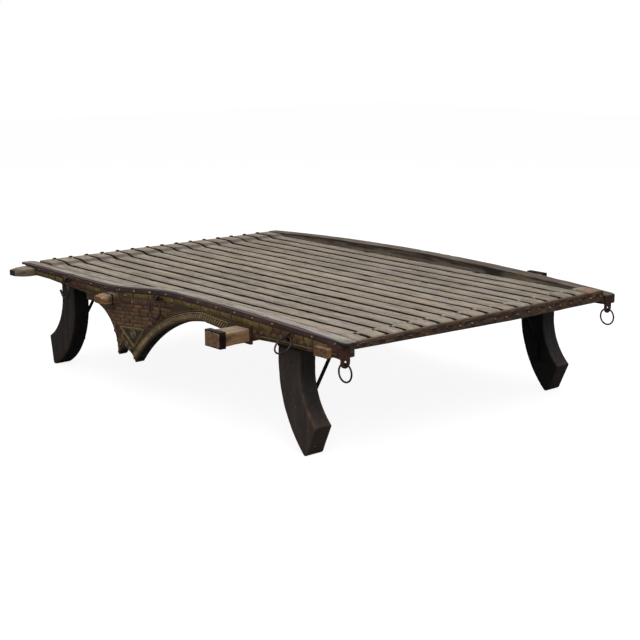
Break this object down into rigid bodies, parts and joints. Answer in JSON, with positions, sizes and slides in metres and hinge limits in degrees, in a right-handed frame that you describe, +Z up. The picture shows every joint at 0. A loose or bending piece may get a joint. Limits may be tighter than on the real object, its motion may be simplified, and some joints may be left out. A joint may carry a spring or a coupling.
{
  "type": "bullock cart bed low table",
  "caption": "Low table made from a bullock cart bed: slatted deck, bowed rails with carved hanging brackets, bearers, swinging iron rings and hooks, sabre legs.",
  "frame": {"origin": "on the floor, under the middle of the overall box", "axes": "+X along the bed towards the studded end beam, +Y towards the far side rail, +Z up"},
  "size_m": [2.0114, 1.624, 0.444],
  "materials": {
    "grey_timber": "weathered grey-brown, matte",
    "dark_timber": "old dark brown, waxed",
    "carved_timber": "carved, brown with worn brass-toned trim",
    "brown_timber": "worn brown, matte",
    "black_timber": "dark stained, edges worn to brown",
    "dark_iron": "dark sheet iron with round studs",
    "iron": "old forged iron, slightly rusted"
  },
  "bodies": {
    "root": {"rail_near": "dark_timber", "rail_far": "dark_timber", "rail_cap_near": "grey_timber", "rail_cap_far": "grey_timber", "bracket_near": "carved_timber", "bracket_far": "carved_timber", "beam_rear": "grey_timber", "beam_front": "brown_timber", "front_fascia": "dark_iron", "bearer_rear": "brown_timber", "bearer_middle": "brown_timber", "bearer_main": "brown_timber", "bearer_front": "brown_timber", "deck_slats": "grey_timber", "leg_front_near": "black_timber", "leg_front_far": "black_timber", "leg_rear_near": "black_timber", "leg_rear_far": "black_timber", "strut_front_near": "iron", "strut_front_far": "iron", "strut_rear_near": "iron", "strut_rear_far": "iron", "bearer_collars": "iron", "bearer_bands": "iron", "corner_strap_near": "iron", "corner_strap_far": "iron", "staples": "iron"},
    "corner_ring_near": {"corner_ring_near": "iron"},
    "corner_ring_far": {"corner_ring_far": "iron"},
    "hook_rear_near": {"hook_rear_near": "iron"},
    "hook_middle_near": {"hook_middle_near": "iron"},
    "ring_front_near": {"ring_front_near": "iron"},
    "hook_rear_far": {"hook_rear_far": "iron"},
    "hook_middle_far": {"hook_middle_far": "iron"},
    "ring_front_far": {"ring_front_far": "iron"}
  },
  "joints": [
    {"name": "corner_ring_near_swing", "type": "hinge", "parent": "root", "child": "corner_ring_near", "pos_m": [0.97375, -0.659, 0.3549], "axis": [-1, 0, 0], "range_deg": [-85, 85]},
    {"name": "corner_ring_far_swing", "type": "hinge", "parent": "root", "child": "corner_ring_far", "pos_m": [0.97375, 0.632, 0.3449], "axis": [1, 0, 0], "range_deg": [-85, 85]},
    {"name": "hook_rear_near_swing", "type": "hinge", "parent": "root", "child": "hook_rear_near", "pos_m": [-0.61875, -0.692, 0.387], "axis": [-1, 0, 0], "range_deg": [0, 150]},
    {"name": "hook_rear_far_swing", "type": "hinge", "parent": "root", "child": "hook_rear_far", "pos_m": [-0.61875, 0.692, 0.387], "axis": [1, 0, 0], "range_deg": [0, 150]},
    {"name": "hook_middle_near_swing", "type": "hinge", "parent": "root", "child": "hook_middle_near", "pos_m": [0.01525, -0.692, 0.413], "axis": [-1, 0, 0], "range_deg": [0, 150]},
    {"name": "hook_middle_far_swing", "type": "hinge", "parent": "root", "child": "hook_middle_far", "pos_m": [0.01525, 0.692, 0.413], "axis": [1, 0, 0], "range_deg": [0, 150]},
    {"name": "ring_front_near_swing", "type": "hinge", "parent": "root", "child": "ring_front_near", "pos_m": [0.73625, -0.6865, 0.398], "axis": [-1, 0, 0], "range_deg": [-45, 105]},
    {"name": "ring_front_far_swing", "type": "hinge", "parent": "root", "child": "ring_front_far", "pos_m": [0.73625, 0.6865, 0.388], "axis": [1, 0, 0], "range_deg": [-45, 105]}
  ]
}
